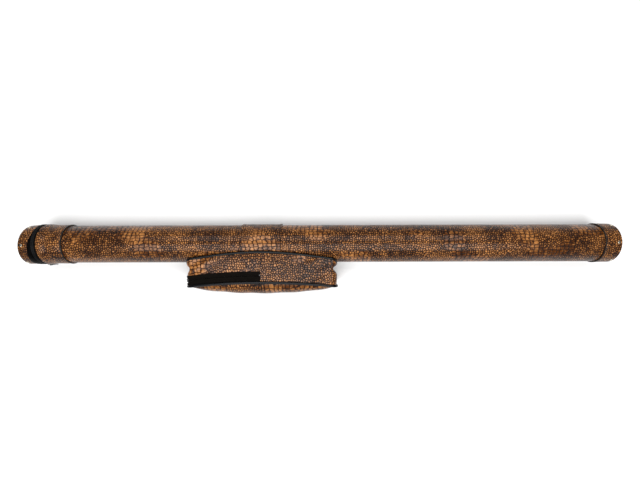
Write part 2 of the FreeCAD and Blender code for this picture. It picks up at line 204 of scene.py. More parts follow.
def copies(name, model, places):
    """One piece made of copies of a model, each moved by its own matrix; the model goes."""
    clear_selection()
    for place in places:
        copy = bpy.data.objects.new(name, model.data.copy())
        copy.data.transform(place)
        bpy.context.scene.collection.objects.link(copy)
        copy.select_set(True)
        bpy.context.view_layer.objects.active = copy
    bpy.ops.object.join()
    piece = bpy.context.object
    piece.name = name
    bpy.data.objects.remove(model)
    return piece


def moved_to_mesh(piece):
    only(piece)
    bpy.ops.object.transform_apply(location=True, rotation=True, scale=True)
    return piece


def report(piece):
    low = [round(min(v.co[i] for v in piece.data.vertices) / MM, 1) for i in range(3)]
    high = [round(max(v.co[i] for v in piece.data.vertices) / MM, 1) for i in range(3)]
    print(f"{piece.name}: {len(piece.data.polygons)} faces, {low} to {high} mm")


# %% [markdown]
# ## The leather's pattern lies on the surface
# Embossed leather is a flat hide wrapped round the tube, so its pattern is measured in metres
# along and around the piece. A UV map keeps that place for every face; the seam of the wrapped
# hide is underneath. On flat ends the pattern is simply laid across.


# %% Lay a hide on a round piece
FLAT_END = 0.8            # a face that looks this much along the tube is part of a flat end


def lay_round(piece, radius, along=0.0, turn=0.0):
    layer = piece.data.uv_layers.new(name="hide")
    mesh = piece.data
    for face in mesh.polygons:
        centre = face.center
        flat_end = abs(face.normal.x) > FLAT_END
        middle = math.atan2(centre.y - AXIS_Y * MM, centre.z - AXIS_Z * MM)
        for loop in face.loop_indices:
            co = mesh.vertices[mesh.loops[loop].vertex_index].co
            y, z = co.y - AXIS_Y * MM, co.z - AXIS_Z * MM
            angle = math.atan2(y, z)
            angle = middle + (angle - middle + math.pi) % (2 * math.pi) - math.pi
            if flat_end:
                layer.data[loop].uv = (z + along, y + turn)
            else:
                layer.data[loop].uv = (co.x + along, radius * MM * angle + turn)
    return piece


def lay_sheet(piece, along, across, shift=0.0):
    """Lay a hide on a sheet: along and across give a point's distances on it, in mm."""
    layer = piece.data.uv_layers.new(name="hide")
    mesh = piece.data
    for loop in mesh.loops:
        co = mesh.vertices[loop.vertex_index].co / MM
        layer.data[loop.index].uv = (along(co) * MM + shift, across(co) * MM)
    return piece


# %% [markdown]
# ## Writing a material as sums
# Node trees are easier to read as expressions. A Value wraps one socket; adding or multiplying
# two values adds a Math node. Any other node comes from its one method, node().


# %% A small class for shader values
class Value:
    """One socket on its way through a material; sums of values add Math nodes."""

    def __init__(self, tree, socket=None):
        self.tree = tree
        self.socket = socket

    def node(self, kind, settings=None, inputs=None, output=0):
        made = self.tree.nodes.new(kind)
        for key, setting in (settings or {}).items():
            if key == "stops":
                ramp = made.color_ramp
                while len(ramp.elements) < len(setting):
                    ramp.elements.new(0.5)
                for element, (position, colour) in zip(ramp.elements, setting):
                    element.position = position
                    element.color = (*colour, 1)
            else:
                setattr(made, key, setting)
        for key, value in (inputs or {}).items():
            if isinstance(value, Value):
                self.tree.links.new(value.socket, made.inputs[key])
            else:
                made.inputs[key].default_value = value
        return Value(self.tree, made.outputs[output])

    def maths(self, operation, *others):
        return self.node("ShaderNodeMath", {"operation": operation},
                         dict(enumerate((self, *others))))

    def __add__(self, other):
        return self.maths("ADD", other)

    def __sub__(self, other):
        return self.maths("SUBTRACT", other)

    def __mul__(self, other):
        return self.maths("MULTIPLY", other)

    def __rsub__(self, other):
        return self.maths("MULTIPLY", -1) + other

    __radd__ = __add__
    __rmul__ = __mul__

    def step(self, low, high):
        """0 below low, 1 above high, smooth between."""
        return self.node("ShaderNodeMapRange", {"interpolation_type": "SMOOTHSTEP"},
                         {"Value": self, "From Min": low, "From Max": high})

    def blend(self, one, other):
        """This value mixes from one number or value to another."""
        return self.node("ShaderNodeMix", {"data_type": "FLOAT"}, {0: self, 2: one, 3: other})

    def blend_colour(self, one, other):
        return self.node("ShaderNodeMix", {"data_type": "RGBA"}, {0: self, 6: one, 7: other}, 2)


def new_material(name):
    material = bpy.data.materials.new(name)
    material.use_nodes = True
    tree = material.node_tree
    return material, Value(tree), tree.nodes["Principled BSDF"]


def connect(shader, **sockets):
    """Numbers go on the shader's own socket, values are linked; _ in a name stands for a space."""
    for name, value in sockets.items():
        socket = shader.inputs[name.replace("_", " ")]
        if isinstance(value, Value):
            value.tree.links.new(value.socket, socket)
        else:
            socket.default_value = value


def bump(start, height, distance):
    return start.node("ShaderNodeBump", None, {"Height": height, "Distance": distance, "Strength": 1.0})


def dress(material, *pieces):
    for piece in pieces:
        piece.data.materials.clear()
        piece.data.materials.append(material)


# %% [markdown]
# ## The embossed leather
# The hide is printed with a reptile's scales: small round ones over most of it, and patches of
# larger, squarer ones in rows. Voronoi cells give both, one field with much randomness and one
# with little, on a gently warped hide, and a slow noise chooses between them. The grooves are
# dark, partly the leather's own stain and partly painted shade; the tops are pale, partly rubbed
# and partly a painted highlight; a clear finish lies over all, glossier on the tops.


# %% Brown leather
SMALL_SCALE = 0.0042      # in metres across
LARGE_SCALE = 0.0088
LARGE_SQUEEZE = (1.0, 1.35, 1.0)
SMALL_DISORDER = 0.78
LARGE_DISORDER = 0.42
WARP = 0.012              # in metres: how far the rows of scales wander
# The darkest colours, in the grooves, are partly the leather's own stain and partly painted shade; the
# pale tan on the scale tops is partly rubbed wear and partly a painted highlight.
GROOVE_STAIN_AND_SHADE = (0.003, 0.0010, 0.0004)
SHADOW_BROWN = (0.014, 0.0038, 0.0008)
BROWN = (0.076, 0.0225, 0.0036)
RUBBED_AND_HIGHLIGHT_TAN = (0.370, 0.155, 0.043)


def brown_leather(name):
    material, start, shader = new_material(name)
    hide = start.node("ShaderNodeUVMap", {"uv_map": "hide"})

    def noise(scale, detail, output=0, **more):
        return start.node("ShaderNodeTexNoise", {"noise_dimensions": "2D"},
                          {"Vector": hide, "Scale": scale, "Detail": detail, **more}, output)

    def vectors(operation, one, other):
        return start.node("ShaderNodeVectorMath", {"operation": operation}, {0: one, **other})

    def scales_on(where, size, disorder, feature="DISTANCE_TO_EDGE", output=0):
        return start.node("ShaderNodeTexVoronoi", {"feature": feature, "voronoi_dimensions": "2D"},
                          {"Vector": where, "Scale": 1 / size, "Randomness": disorder}, output)

    wander = vectors("SUBTRACT", noise(22, 2, 1), {1: (0.5, 0.5, 0.5)})
    place = vectors("ADD", hide, {1: vectors("SCALE", wander, {"Scale": WARP})})
    squeezed = start.node("ShaderNodeMapping", None, {"Vector": place, "Scale": LARGE_SQUEEZE})
    fine_edge = scales_on(place, SMALL_SCALE, SMALL_DISORDER)
    broad_edge = scales_on(squeezed, LARGE_SCALE, LARGE_DISORDER)
    own = scales_on(place, SMALL_SCALE, SMALL_DISORDER, "F1", 1)
    own = start.node("ShaderNodeSeparateColor", None, {0: own})
    belly = noise(13, 1).step(0.55, 0.60)
    scales = belly.blend(fine_edge.step(0.04, 0.32), broad_edge.step(0.01, 0.16))
    grain = noise(900, 4)
    mottle = noise(17, 3, Roughness=0.6)
    # Low tone paints shade into the grooves and high tone paints a highlight onto the scale tops, over
    # the leather's own tone.
    tone = (scales * belly.blend(0.66, 0.56) + own * 0.36 + grain * 0.10
            + mottle.step(0.3, 0.7) * 0.30 - 0.25)
    colour = tone.node("ShaderNodeValToRGB", {"stops": [
        (0.00, GROOVE_STAIN_AND_SHADE), (0.30, SHADOW_BROWN), (0.58, BROWN), (1.00, RUBBED_AND_HIGHLIGHT_TAN)]}, {0: tone})
    rough = 0.42 - scales * 0.12 + (grain - 0.5) * 0.12
    relief = scales * 0.8 + grain * 0.10 + mottle * 0.5
    connect(shader, Base_Color=colour, Roughness=rough, Coat_Weight=scales * 0.34 + 0.02,
            Coat_Roughness=0.20, Coat_IOR=1.5, IOR=1.5, Specular_IOR_Level=0.10,
            Normal=bump(start, relief, 0.0006))
    return material


leather = brown_leather("brown_embossed_leather")

# %% [markdown]
# ## Black finishes, metal, cloth and foam
# The piping is glossy vinyl over a cord, the zip tapes are woven, the teeth are nylon, the studs
# are polished metal. Each finish takes its pattern from Object coordinates.


# %% Other finishes
def plain_finish(name, colour, rough, scale, relief, spread=0.25, **more):
    """A finely speckled finish: colour and roughness vary a little, and it has a slight relief."""
    material, start, shader = new_material(name)
    place = start.node("ShaderNodeTexCoord", None, None, 3)
    speckle = start.node("ShaderNodeTexNoise", None, {"Vector": place, "Scale": scale, "Detail": 4})
    cloud = start.node("ShaderNodeTexNoise", None, {"Vector": place, "Scale": scale / 14, "Detail": 2})
    paler = tuple(min(1, c * (1 + spread)) for c in colour)
    darker = tuple(c * (1 - spread) for c in colour)
    shade = (speckle * 0.5 + cloud * 0.5).step(0.3, 0.7).blend_colour((*darker, 1), (*paler, 1))
    connect(shader, Base_Color=shade, Roughness=rough + (cloud - 0.5) * 0.2,
            Normal=bump(start, speckle, relief), **more)
    return material


WAVE_TO_PITCH = 0.314     # a wave node of scale 1 repeats every 0.314 units


def woven(name, colour, rough, pitch, relief=0.0002, **more):
    """A plain weave: two crossed waves, one for each set of threads."""
    material, start, shader = new_material(name)
    place = start.node("ShaderNodeTexCoord", None, None, 3)
    waves = [start.node("ShaderNodeTexWave", {"bands_direction": way, "wave_profile": "SIN"},
                        {"Vector": place, "Scale": WAVE_TO_PITCH / pitch, "Distortion": 0.6,
                         "Detail Scale": 2})
             for way in ("X", "Y", "Z")]
    lint = start.node("ShaderNodeTexNoise", None, {"Vector": place, "Scale": 60, "Detail": 3})
    threads = waves[0].maths("MAXIMUM", waves[1]).maths("MAXIMUM", waves[2])
    tone = (threads * 0.6 + lint * 0.5).step(0.2, 0.9)
    shade = tone.blend_colour((*(c * 0.5 for c in colour), 1), (*(c * 1.4 for c in colour), 1))
    connect(shader, Base_Color=shade, Roughness=rough, Normal=bump(start, threads, relief), **more)
    return material


black_piping = plain_finish("black_glossy_piping", (0.003, 0.0034, 0.004), 0.28, 700, 0.00005,
                            Specular_IOR_Level=0.18)
black_edging = plain_finish("black_edge_leather", (0.005, 0.0045, 0.004), 0.45, 1400, 0.0001,
                            Specular_IOR_Level=0.3)
band_leather = plain_finish("black_band_leather", (0.0012, 0.0010, 0.0009), 0.5, 1500, 0.0001,
                            Specular_IOR_Level=0.02)
zip_tape = woven("black_zip_tape", (0.0030, 0.0024, 0.0018), 0.8, 0.0008, Specular_IOR_Level=0.03)
zip_nylon = plain_finish("black_nylon_teeth", (0.005, 0.005, 0.005), 0.45, 900, 0.00003,
                         Specular_IOR_Level=0.12)
slider_metal = plain_finish("black_lacquered_metal", (0.02, 0.02, 0.021), 0.3, 500, 0.00002,
                            Metallic=0.6)
stud_metal = plain_finish("polished_stud_metal", (0.42, 0.38, 0.31), 0.22, 600, 0.00001, 0.06,
                          Metallic=1.0)
lining = woven("black_lining_cloth", (0.030, 0.030, 0.036), 0.85, 0.0007, Sheen_Weight=0.4)
velvet = plain_finish("dark_velvet", (0.035, 0.033, 0.040), 0.9, 1800, 0.0002, Sheen_Weight=0.8)
foam = plain_finish("grey_foam", (0.055, 0.055, 0.06), 0.95, 1300, 0.0004)
board = plain_finish("grey_board", (0.33, 0.27, 0.19), 0.85, 800, 0.0001)
thread = plain_finish("brown_waxed_thread", (0.10, 0.045, 0.018), 0.55, 2500, 0.00005)
for node, material in {"tube_core": board, "base_plug": board,
                       "butt_channel_liner": velvet, "shaft_channel_liner": velvet,
                       "extension_channel_liner": velvet, "mouth_trim": black_edging,
                       "lid_zip_case_tape": zip_tape, "lid_zip_lid_tape": zip_tape,
                       "lid_zip_end_stops": slider_metal, "pouch_zip_end_stops": slider_metal}.items():
    dress(material, frame["nodes"][node])


def place_piece(piece, material, body, slot, *nodes):
    """Dress a finished piece, hang it on its CAD body and hide the CAD nodes it stands for."""
    dress(material, piece)
    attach(piece, body)
    if nodes:
        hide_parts(*nodes)
    report(piece)
    return piece


# %% [markdown]
# ## The leather on the tube
# One hide is wrapped round the board tube and glued, with its seam underneath. A lathe gives the
# skin; thin threads beside the seam are not needed, because the seam is glued.

# %% Tube leather
skin = lathe("tube_leather", rounded([(MOUTH_X, 36.7), (MOUTH_X, TUBE_RADIUS), (TUBE_END, TUBE_RADIUS),
                                      (TUBE_END, 36.7)], 0.4), 160)
place_piece(lay_round(skin, TUBE_RADIUS), leather, "case", "brown_leather", "tube_cover")

# %% [markdown]
# ## Base cap
# A cup of the same leather is drawn over the closed end. Its rim is turned and sewn against a
# black edging, its corner is soft, and a disc closes the end.

# %% Base cap, its edging and its end
def edge_roll(name, low, high):
    """A thin rolled edge round the tube, between two places along it."""
    section = [(low, 37.9), (low, 40.2), (high, 40.2), (high, 37.9)]
    return lathe(name, rounded(section, 1.0, 5))


def end_disc(name, way):
    """The crowned disc that closes an end: way is 1 for the base and -1 for the lid."""
    section = [(590.2, 0.001), (590.2, 31.4), (591.9, 31.4, 0.8), (CASE_END, 20), (592.4, 0.001)]
    return lathe(name, rounded([(way * place[0], *place[1:]) for place in section], 0.0), 96)


cap = lathe("base_cap", rounded([
    (559.8, SKIN_UNDER), (559.8, 39.7), (566, 39.6), (575, 39.55), (CASE_END, 39.4, 4.5),
    (CASE_END, 30.9, 0.5), (590.4, 30.9), (590.4, SKIN_UNDER)], 0.7))
place_piece(lay_round(cap, 39.5, 0.31, 0.02), leather, "case", "brown_leather", "base_cap_cover")
place_piece(edge_roll("base_edge_roll", 558.2, 560.1), black_edging, "case", "black_edging",
            "base_edging")
place_piece(lay_round(end_disc("base_end", 1), 31, 0.7, 0.4), leather, "case", "brown_leather",
            "base_end_disc")

# %% [markdown]
# ## Studs
# Each cap is held by six polished domes on short rivets. One is modelled, a cylinder whose top is
# bevelled into a dome with a small flange, and the others are copies, each with its own mesh.

# %% Studs round both caps
STUD_COUNT = 6
STUD_RADIUS = 3.0
STUD_HEIGHT = 1.3
FLANGE_DROP = 0.8
FLANGE_SPREAD = 1.12


def studs(name, x, radius, first):
    clear_selection()
    bpy.ops.mesh.primitive_cylinder_add(vertices=20, radius=STUD_RADIUS * MM, depth=STUD_HEIGHT * MM,
                                        location=(0, 0, STUD_HEIGHT / 2 * MM))
    model = moved_to_mesh(bpy.context.object)
    softened(model, 1.25, 4)
    for vertex in model.data.vertices:
        if vertex.co.z < 0.3 * MM:
            vertex.co.z -= FLANGE_DROP * MM
            vertex.co.x *= FLANGE_SPREAD
            vertex.co.y *= FLANGE_SPREAD
    places = []
    for count in range(STUD_COUNT):
        places.append(standing(x, radius, first + 360 / STUD_COUNT * count))
    return tidy_mesh(copies(name, model, places), 50)


place_piece(studs("base_cap_studs", 583.5, 39.45, 90), stud_metal, "case", "bright_stud", "base_studs")

# %% [markdown]
# ## Collar at the mouth
# The collar is a second layer of leather round the open end. It flares over the zip's tape, so
# its mouth stands out from the tube and casts a fine shadow, and a black edging closes its other side.

# %% Collar and its edging
collar = lathe("collar", rounded([
    (-507.8, SKIN_UNDER), (-507.8, 39.5), (-537, 39.5), (-548, 41.0, 4), (-554.4, 41.3, 0.8),
    (-554.4, 39.7, 0.8), (-546, 39.2, 2), (-541, SKIN_UNDER)], 0.6))
place_piece(lay_round(collar, 39.6, 0.13, 0.31), leather, "case", "brown_leather", "collar_cover")
place_piece(edge_roll("collar_edge_roll", -506.2, -508.1), black_edging, "case", "black_edging",
            "collar_edging")

# %% [markdown]
# ## Lid
# The lid is a shallow leather cup. On this case it sits a little askew: its leather edge runs
# slantwise, further out on the pouch side, and the black band beside it is a wedge. The cup is
# made square on the lathe, and its points are then moved along the tube by their place across it.

# %% The lid's leather, end, inner cup, band and studs
LID_EDGE = -570.0
BAND_START = -564.5
EDGE_SLANT = 0.2          # mm along the tube for each mm across it
MOST_SLANT = 5.0
LID_LEAN = 0.045
LID_SHIFT = -1.0


def slanted(across, slant):
    return min(slant * across, MOST_SLANT)


def askew(piece, slant, lean=LID_LEAN, shift=LID_SHIFT):
    """Slide points along the tube: slant moves the edge by the band, lean tilts the whole lid."""
    for vertex in piece.data.vertices:
        across = vertex.co.y / MM - AXIS_Y
        near_edge = min(1, max(0, (vertex.co.x / MM + CASE_END) / (CASE_END + LID_EDGE)))
        wanted = slanted(across, slant)
        vertex.co.x += (near_edge * wanted + (1 - near_edge) * lean * across) * MM
        vertex.co.y += shift * MM * (1 - near_edge)
    return piece


lid = lathe("lid_cap", rounded([
    (LID_EDGE, 38.45), (LID_EDGE, 39.8), (-580, 39.8), (-CASE_END, 39.5, 5.5),
    (-CASE_END, 30.9, 0.5), (-590.4, 30.9), (-590.4, 38.45)], 0.7))
place_piece(askew(lay_round(lid, 39.6, 0.52, 0.17), EDGE_SLANT), leather, "lid", "brown_leather",
            "lid_cover")
end = lay_round(end_disc("lid_end", -1), 31, 0.9, 0.2)
place_piece(askew(end, EDGE_SLANT), leather, "lid", "brown_leather", "lid_end_disc")
low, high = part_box("lid_shell")
brim, wall = high.x / MM, (high.y - low.y) / 2 / MM
cup = lathe("lid_inner_cup", rounded([
    (brim, wall - 2.0), (brim, wall), (-589.9, wall, 7.0), (-589.9, 0.001),
    (-588.4, 0.001), (-588.4, wall - 2.0)], 0.3), 96)
place_piece(askew(cup, 0.0), board, "lid", "tube_board", "lid_shell")
band = lathe("lid_band", rounded([
    (BAND_START, 39.3), (BAND_START, 40.9), (-568, 41.0, 3), (-570.6, 40.4, 1), (-571.4, 39.3)],
    0.8, 5))
for vertex in band.data.vertices:
    outer = min(1, max(0, (BAND_START - vertex.co.x / MM) / 6))
    vertex.co.x += outer * slanted(vertex.co.y / MM - AXIS_Y, EDGE_SLANT) * MM
place_piece(tidy_mesh(band), band_leather, "lid", "black_edging", "lid_binding")
knobs = studs("lid_cap_studs", -583.5, 39.7, 94)
place_piece(askew(knobs, 0.12, 0.09, -0.4), stud_metal, "lid", "bright_stud", "lid_studs")

# %% [markdown]
# ## Zip round the lid
# Two rows of nylon teeth meet on a line just outside the collar. One tooth is a small rounded
# block; copies of it stand side by side on a narrow band, all round but for the hinge.

# %% Teeth of the lid's zip
def tooth(length, width, height):
    clear_selection()
    bpy.ops.mesh.primitive_cube_add(size=1)
    model = bpy.context.object
    model.scale = (length * MM, width * MM, height * MM)
    moved_to_mesh(model)
    return softened(model, min(width, height) * 0.3, 1)


ZIP_FROM = 18             # degrees round the tube; the hinge takes the rest
ZIP_SWEEP = 324
TOOTH_COUNT = 150
TOOTH_MARGIN = 0.6        # degrees between the last tooth and the end of its bed


def ring_of_teeth(name, low, high):
    inner, top = 38.4, 40.4
    section = [(low, inner), (low, top), (high, top), (high, inner)]
    bed = lathe(name + "_bed", rounded(section, 0.3, 2), 108, ZIP_FROM, ZIP_SWEEP)
    places = []
    for i in range(TOOTH_COUNT):
        angle = ZIP_FROM + TOOTH_MARGIN + (ZIP_SWEEP - 2 * TOOTH_MARGIN) * i / (TOOTH_COUNT - 1)
        places.append(standing((low + high) / 2, top + 0.15, angle))
    teeth = copies(name, tooth(high - low - 0.3, 0.85, 0.75), places)
    only(teeth)
    bed.select_set(True)
    bpy.ops.object.join()
    return tidy_mesh(teeth, 40)


place_piece(ring_of_teeth("lid_zip_teeth_on_case", -561.35, -558.5), zip_nylon, "case", "zip_coil",
            "lid_zip_case_coil")
place_piece(ring_of_teeth("lid_zip_teeth_on_lid", -564.45, -561.65), zip_nylon, "lid", "zip_coil",
            "lid_zip_lid_coil")

# %% [markdown]
# ## Hinge
# Where the zip ends, a strip of black leather joins the tube to the lid. It is one piece, shaped as
# it lies with the lid shut, over the tube on one side and the lid on the other.

# %% Hinge strip
section = [(-554.2, 38.9), (-554.2, 40.6), (-558, 41.0, 1), (-560, 41.1), (-561.5, 41.2, 0.5),
           (-563, 41.1), (BAND_START, 40.9), (BAND_START, 38.9), (-563, 38.9), (-561.5, 38.9),
           (-560, 38.9)]
strip = lathe("lid_hinge_strip_leather", rounded(section, 0.3, 3), 24, -16, 32)
dress(band_leather, strip)
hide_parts("lid_hinge_strip", "lid_hinge_strip_lid_half")
around(-560.6, 41, 0)
around(-562.4, 41, 0)
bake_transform(strip)
report(strip)

# %% [markdown]
# ## Sleeve
# The pouch hangs on a wide sleeve of leather round the tube. Both edges are turned back as hems,
# a stitched line runs inside each, and the leather between them dips slightly.

# %% Sleeve with hems and stitches
STITCH_COUNT = 62


def stitches(name, x, radius):
    """Short threads laid round the tube, nose to tail."""
    clear_selection()
    bpy.ops.mesh.primitive_uv_sphere_add(segments=6, ring_count=4, radius=MM)
    model = bpy.context.object
    model.scale = (0.42, 1.25, 0.35)
    moved_to_mesh(model)
    places = [standing(x, radius, 360 * (i + 0.5) / STITCH_COUNT) for i in range(STITCH_COUNT)]
    return tidy_mesh(copies(name, model, places), 60)


sleeve = lathe("pouch_sleeve_leather", rounded([
    (-157, SKIN_UNDER), (-157, 40.1), (-154.5, 40.3), (-152.2, 40.25), (-151.4, 39.75),
    (-150.0, 39.9), (POUCH_X, 39.75), (-84.0, 39.9), (-82.6, 39.75), (-81.8, 40.25), (-79.5, 40.3),
    (-77, 40.1), (-77, SKIN_UNDER)], 0.7, 3))
place_piece(lay_round(sleeve, 39.8, 0.41, 0.13), leather, "case", "brown_leather",
            "pouch_sleeve", "pouch_sleeve_hems")
threads = stitches("sleeve_stitches", -151.4, 39.85)
others = stitches("more_stitches", -82.6, 39.85)
only(threads)
others.select_set(True)
bpy.ops.object.join()
place_piece(threads, thread, "case", "brown_leather")
for name, x, radius in (("base_cap_stitches", 562.6, 39.75), ("collar_stitches", -510.6, 39.55)):
    place_piece(stitches(name, x, radius), thread, "case", "brown_leather")

# %% [markdown]
# ## The shape of the pouch
# The pouch is a D seen along the tube: two gussets that taper away from the tube, and a front that
# bulges. Seen from above it bows, highest in its middle. A few short functions hold that shape, and
# every sheet of the pouch is a grid laid on it, so that neighbours meet along the same seams.

# %% Functions for the pouch's shape
HALF = 149.0              # half of the pouch's length
CORNER = 9.0
PUFF = 1.2                # how far the gusset swells
SEAT = 42.1               # radius about the tube on which the pouch's back is sewn
LEATHER_WALL = 1.4
CLOTH_WALL = 0.5
CLOTH_INSET = 1.9         # the lining lies this far inside
TAPER_DEPTH = 110         # the pouch's taper is given from the axis to this depth
PINCH_DEPTH = 50          # the ends are pinched in at this depth
PINCH = 11.0


def half_height(x, depth):
    """Half the pouch's height: at a depth from the axis it is tallest in the middle of its length."""
    middle = 39.6 - 6.4 * depth / TAPER_DEPTH
    end = 34.3 - 22.4 * depth / TAPER_DEPTH
    return end + (middle - end) * (1 - (x / HALF) ** 2)


def front_seam(x):
    """How far from the axis the front is sewn on."""
    return 77 + 9.5 * (x / HALF) ** 2


def rim_places(top, corner, side):
    """Places round the pouch, from the middle of its top over the right end: (x, level, turn)."""
    straight = HALF - CORNER
    quarter = [(straight * i / top, 1.0, 90.0) for i in range(top)]
    quarter += [(straight + CORNER * math.cos(math.radians(a)), 1.0, a)
                for a in (90 - 90 * i / corner for i in range(corner + 1))]
    quarter += [(HALF, 1 - i / side, 0.0) for i in range(1, side + 1)]
    lower = [(x, -level, -turn) for x, level, turn in reversed(quarter[:-1])]
    right = quarter + lower
    left = [(-x, level, 180 - turn) for x, level, turn in reversed(right)]
    return right, left


def rim_point(place, depth, inset=0.0):
    """A point of the pouch's outline at this depth from the tube's axis, and its way out."""
    x, level, turn = place
    out = Vector((math.cos(math.radians(turn)), 0, math.sin(math.radians(turn))))
    height = half_height(x, depth)
    z = level * (height - CORNER) + CORNER * math.sin(math.radians(turn))
    spread = 4.5 if depth < PINCH_DEPTH else 7.0
    pinch = abs(out.x) ** 1.6 * PINCH * math.exp(-((depth - PINCH_DEPTH) / spread) ** 2)
    x -= math.copysign(pinch, x) if pinch else 0
    return Vector((x - out.x * inset, depth, z - out.z * inset)), out


def back_depth(place, radius=SEAT):
    """The depth at which the outline meets the round seat, found by a few repeats."""
    depth = 25.0
    for _ in range(12):
        point, _out = rim_point(place, depth)
        depth = math.sqrt(max(radius ** 2 - point.z ** 2, 16.0))
    return depth


def in_frame(point):
    """From the pouch's own x, depth and z to the case's frame, in mm."""
    return Vector((POUCH_X + point.x, AXIS_Y - point.y, AXIS_Z + point.z))


def creases(x, depth, side):
    """Soft wrinkles in the gusset: slanting folds at the ends and one across each half, in mm."""
    fold = math.sin((x * 0.75 + depth * 1.3) * 0.16) * math.exp(-((abs(x) - 118) / 34) ** 2) * 1.0
    line = -0.9 * math.exp(-((x + 74) / 2.5) ** 2) - 0.7 * math.exp(-((x - 3) / 2.0) ** 2)
    return (fold + line) * side


# %% [markdown]
# ## Gussets
# The gusset is one long strip of leather that goes all round the pouch. Its right half reaches the
# front seam; its left half stops 23 mm short, where the zip is sewn in. Each half is a grid, one
# way round the pouch and the other way out from the tube.

# %% Gussets, right and left
right_rim, left_rim = rim_places(26, 6, 8)


def between(places, share):
    spot = share * (len(places) - 1)
    low = min(int(spot), len(places) - 2)
    part = spot - low
    return tuple(a + (b - a) * part for a, b in zip(places[low], places[low + 1]))


def gusset_place(rim, short, inset=0.0, start_share=0.0):
    def place(u, v):
        spot = between(rim, (u + 1) / 2)
        share = start_share + (1 - start_share) * (v + 1) / 2
        first = back_depth(spot)
        last = front_seam(spot[0]) - short
        depth = first + (last - first) * share
        point, out = rim_point(spot, depth, inset)
        puff = PUFF * math.sin(math.pi * share) + creases(point.x, depth, abs(out.z))
        return in_frame(point + out * puff)
    return place


for name, rim, short, node in (
        ("pouch_gusset_right_leather", right_rim, 0.0, "pouch_gusset_right"),
        ("pouch_gusset_left_leather", left_rim, 22.6, "pouch_gusset_left")):
    gusset = sheet_of(name, len(rim) - 1, 22, gusset_place(rim, short), LEATHER_WALL)
    tidy_mesh(gusset, 50)
    lay_sheet(gusset, lambda co: co.x, lambda co: -co.y + 0.6 * abs(co.z - AXIS_Z), 0.23)
    place_piece(gusset, leather, "case", "brown_leather", node)

# %% [markdown]
# ## Front
# The front is one crowned panel sewn to the gusset all round. Its left half is the flap that the
# zip opens; the panel is one piece, shaped as it lies with the zip shut.


def fold_with_flap(piece, material, slot, *nodes):
    """Dress a piece of the front, hide the CAD nodes it stands for and bake its place into its mesh."""
    dress(material, piece)
    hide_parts(*nodes)
    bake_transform(piece)
    report(piece)


def front_height(x):
    height = half_height(x, front_seam(x)) - CORNER
    past = abs(x) - (HALF - CORNER)
    return height + (CORNER if past <= 0 else math.sqrt(max(CORNER ** 2 - past ** 2, 0)))


def front_place(inset=0.0):
    def place(u, v):
        x = (HALF - inset) * math.sin(u * math.pi / 2)
        height = front_height(x) - inset
        seam = front_seam(x)
        rise = (102 - 10 * (x / HALF) ** 2) - seam
        bulge = (1 - abs(v) ** 2.6) ** 0.55 * (1 - abs(x / HALF) ** 10) ** 0.5
        wrinkle = 0.5 * math.sin(x * 0.11 + v * 2) * (1 - v * v)
        return in_frame(Vector((x, seam + (rise - 0.6) * bulge + wrinkle - inset, height * v)))
    return place


front = sheet_of("pouch_front_leather", 84, 26, front_place(), LEATHER_WALL)
lay_sheet(tidy_mesh(front, 60), lambda co: co.x, lambda co: (co.z - AXIS_Z) * 1.25, 0.61)
fold_with_flap(front, leather, "brown_leather", "pouch_front_right", "pouch_front_flap")

# %% [markdown]
# ## Piping
# Piping is a cord wrapped in vinyl and sewn into a seam. A curve through the seam's points, given
# a round section, is all it needs.

# %% Piping round the front and the back
def seam_tube(name, points, radius):
    clear_selection()
    line = bpy.data.curves.new(name, "CURVE")
    line.dimensions = "3D"
    spline = line.splines.new("NURBS")
    spline.points.add(len(points) - 1)
    for knot, point in zip(spline.points, points):
        knot.co = (*(point * MM), 1)
    spline.use_cyclic_u = True
    spline.order_u = 4
    spline.resolution_u = 2
    line.bevel_depth = radius * MM
    line.bevel_resolution = 3
    piece = bpy.data.objects.new(name, line)
    bpy.context.scene.collection.objects.link(piece)
    only(piece)
    bpy.ops.object.convert(target="MESH")
    return tidy_mesh(bpy.context.object, 70)


def rim_line(depth_at, proud):
    """Points all round the pouch, at the depth that depth_at gives, this far proud of it."""
    line = []
    for place in right_rim[:-1] + left_rim[:-1]:
        point, out = rim_point(place, depth_at(place))
        line.append(in_frame(point + out * proud))
    return line


piping = seam_tube("pouch_front_piping", rim_line(lambda place: front_seam(place[0]), 2.1), 2.8)
fold_with_flap(piping, black_piping, "black_piping", "pouch_front_piping_right", "pouch_flap_piping")
piping = seam_tube("pouch_back_edge_piping", rim_line(lambda place: back_depth(place, 42.3), 0.3), 2.6)
place_piece(piping, black_piping, "case", "black_piping", "pouch_back_piping")

# %% [markdown]
# ## Zip of the pouch
# The zip is sewn in face down, so its woven tapes cover the teeth and only a narrow slit shows
# between them. Each tape is a strip laid on the pouch's shape, with a ridge where it is stitched
# and a rolled edge at the slit. The teeth are copies of one block, set under the slit at even steps.

# %% Tapes and teeth of the pouch's zip
ZIP_MIDDLE = 13.0         # the slit, behind the front seam
TAPE_WALL = 0.9
TAPE_FROM = 0.004         # the tapes start just off the end of the left rim
TOOTH_PITCH = 1.5
# each tape's height over the gusset, at places behind the front seam
BODY_TAPE = [(13.3, 0.2), (13.5, 1.1), (15.2, 1.3), (16.4, 0.6), (17.6, 1.0), (20.5, 1.15), (22.0, 0.9),
             (23.2, 0.1)]
FLAP_TAPE = [(0.6, 0.2), (2.0, 0.9), (4.5, 1.25), (7.0, 1.05), (8.3, 0.35), (9.6, 1.1), (11.6, 1.3),
             (12.5, 1.1), (12.7, 0.2)]


def lift_at(heights, behind):
    for (a, low), (b, high) in zip(heights, heights[1:]):
        if behind <= b:
            return low + (high - low) * (behind - a) / (b - a)
    return heights[-1][1]


